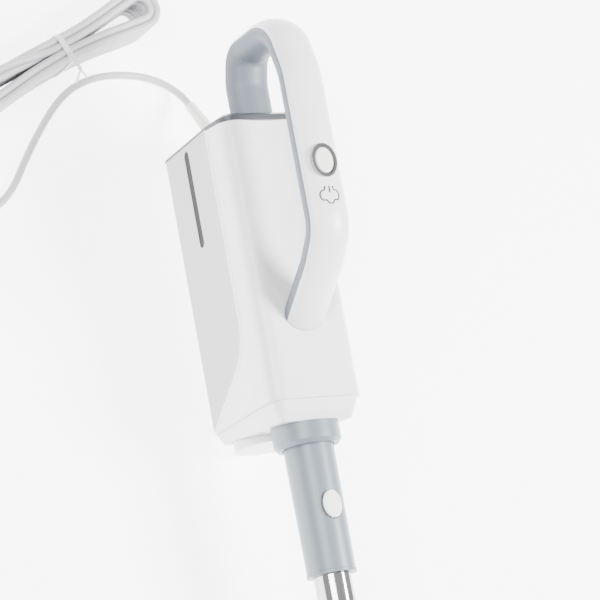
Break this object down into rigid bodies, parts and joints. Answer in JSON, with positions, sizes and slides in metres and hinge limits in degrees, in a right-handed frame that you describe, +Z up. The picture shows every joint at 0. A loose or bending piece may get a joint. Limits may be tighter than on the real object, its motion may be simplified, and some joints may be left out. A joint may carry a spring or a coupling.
{
  "type": "steam mop",
  "caption": "Steam mop with a boxy main unit, loop handle, chrome tube, tilting swivel neck, flat padded head and a mains cord tied in a hank.",
  "frame": {"origin": "centre of the mop pad's underside, on the floor under the tilt hinge", "axes": "+Z up, +Y along the laid-back pole towards the handle, +X across the mop head"},
  "size_m": [0.4266, 1.2817, 0.1874],
  "materials": {
    "white_plastic": "smooth moulded white, soft gloss",
    "grey_plastic": "smooth moulded cool grey",
    "lid_plastic": "dark grey moulded",
    "liner_plastic": "grey soft-touch",
    "dark_plastic": "fine moulded texture",
    "button_plastic": "warm white gloss",
    "ring_plastic": "bright white gloss",
    "tank_plastic": "clear moulded",
    "window": "smoked clear strip",
    "chrome": "mirror plated",
    "steel": "bright steel",
    "brass": "turned brass",
    "aluminium": "cast aluminium",
    "silicone": "translucent silicone",
    "seal_rubber": "black rubber",
    "relief_rubber": "cream rubber",
    "cord_rubber": "light grey cord jacket",
    "tie_plastic": "coated wire tie",
    "board": "printed circuit board",
    "hook_strip": "hook tape",
    "pad_cloth": "looped microfibre"
  },
  "bodies": {
    "mop_head": {"mop_pad": "pad_cloth", "sole_strips": "hook_strip", "head_base": "grey_plastic", "steam_distributor": "dark_plastic", "distributor_seal": "seal_rubber", "head_cover": "white_plastic", "tilt_pins": "steel", "head_nozzle": "brass", "head_screws": "steel"},
    "tilt_yoke": {"tilt_yoke": "dark_plastic", "roll_pin": "steel"},
    "neck": {"neck_spigot": "dark_plastic", "lower_latch_spring": "steel"},
    "lower_latch": {"lower_latch_pin": "steel"},
    "pole": {"lower_connector": "grey_plastic", "chrome_tube": "chrome", "tube_hose": "silicone", "upper_latch_spring": "steel"},
    "lower_button": {"lower_release_button": "button_plastic"},
    "upper_latch": {"upper_latch_pin": "steel"},
    "upper_button": {"upper_release_button": "button_plastic"},
    "steam_button": {"steam_button": "button_plastic"},
    "tank_cap": {"tank_cap": "white_plastic", "cap_ring": "ring_plastic"},
    "main_unit": {"base_cap": "white_plastic", "boiler_lid": "aluminium", "boiler_screws": "steel", "boiler_shell": "aluminium", "button_ring": "chrome", "button_spring": "steel", "cap_seal": "seal_rubber", "collar": "grey_plastic", "control_board": "board", "cord_hank": "cord_rubber", "cord_tie": "tie_plastic", "front_housing": "white_plastic", "handle_liner": "liner_plastic", "handle_screws": "steel", "handle_shell": "white_plastic", "heating_element": "steel", "housing_screws": "steel", "level_windows": "window", "microswitch": "dark_plastic", "plug_body": "cord_rubber", "plug_lead": "cord_rubber", "plug_pins": "brass", "power_cord": "cord_rubber", "pressure_hose": "silicone", "pump_body": "dark_plastic", "pump_mounts": "seal_rubber", "steam_hose": "silicone", "steam_spigot": "brass", "strain_relief": "relief_rubber", "suction_hose": "silicone", "tank_cover": "white_plastic", "thermal_fuse": "steel", "thermostat": "steel", "top_cover": "lid_plastic", "upper_sleeve": "grey_plastic", "water_tank": "tank_plastic"}
  },
  "joints": [
    {"name": "neck_tilt", "type": "hinge", "parent": "mop_head", "child": "tilt_yoke", "pos_m": [0, 0, 0.045], "axis": [1, 0, 0], "range_deg": [0, 87.38]},
    {"name": "neck_swivel", "type": "hinge", "parent": "tilt_yoke", "child": "neck", "pos_m": [0, 0.03097, 0.04641], "axis": [0, 0.0456, -0.999], "range_deg": [-35, 35]},
    {"name": "head_release_slide", "type": "slide", "parent": "neck", "child": "pole", "axis": [0, 0.999, 0.0456], "range_m": [0, 0.06]},
    {"name": "tube_release_slide", "type": "slide", "parent": "pole", "child": "main_unit", "axis": [0, 0.999, 0.0456], "range_m": [0, 0.085]},
    {"name": "lower_button_press", "type": "slide", "parent": "pole", "child": "lower_button", "axis": [0, 0.0456, -0.999], "range_m": [0, 0.0021], "stiffness_N_per_m": 450},
    {"name": "lower_latch_press", "type": "slide", "parent": "neck", "child": "lower_latch", "axis": [0, 0.0456, -0.999], "range_m": [0, 0.0021], "stiffness_N_per_m": 450, "deforming": ["lower_latch_spring"]},
    {"name": "upper_button_press", "type": "slide", "parent": "main_unit", "child": "upper_button", "axis": [0, 0.0456, -0.999], "range_m": [0, 0.0021], "stiffness_N_per_m": 450},
    {"name": "upper_latch_press", "type": "slide", "parent": "pole", "child": "upper_latch", "axis": [0, 0.0456, -0.999], "range_m": [0, 0.0021], "stiffness_N_per_m": 450, "deforming": ["upper_latch_spring"]},
    {"name": "steam_button_press", "type": "slide", "parent": "main_unit", "child": "steam_button", "axis": [0, 0.0456, -0.999], "range_m": [0, 0.0025], "stiffness_N_per_m": 450, "deforming": ["button_spring"]},
    {"name": "tank_cap_turn", "type": "hinge", "parent": "main_unit", "child": "tank_cap", "pos_m": [0, 0.83968, 0.02724], "axis": [0, 0.999, 0.0456], "range_deg": [0, 90]}
  ],
  "couplings": [
    {"joint": "lower_latch_press", "follows": "lower_button_press", "ratio": 1},
    {"joint": "upper_latch_press", "follows": "upper_button_press", "ratio": 1}
  ]
}
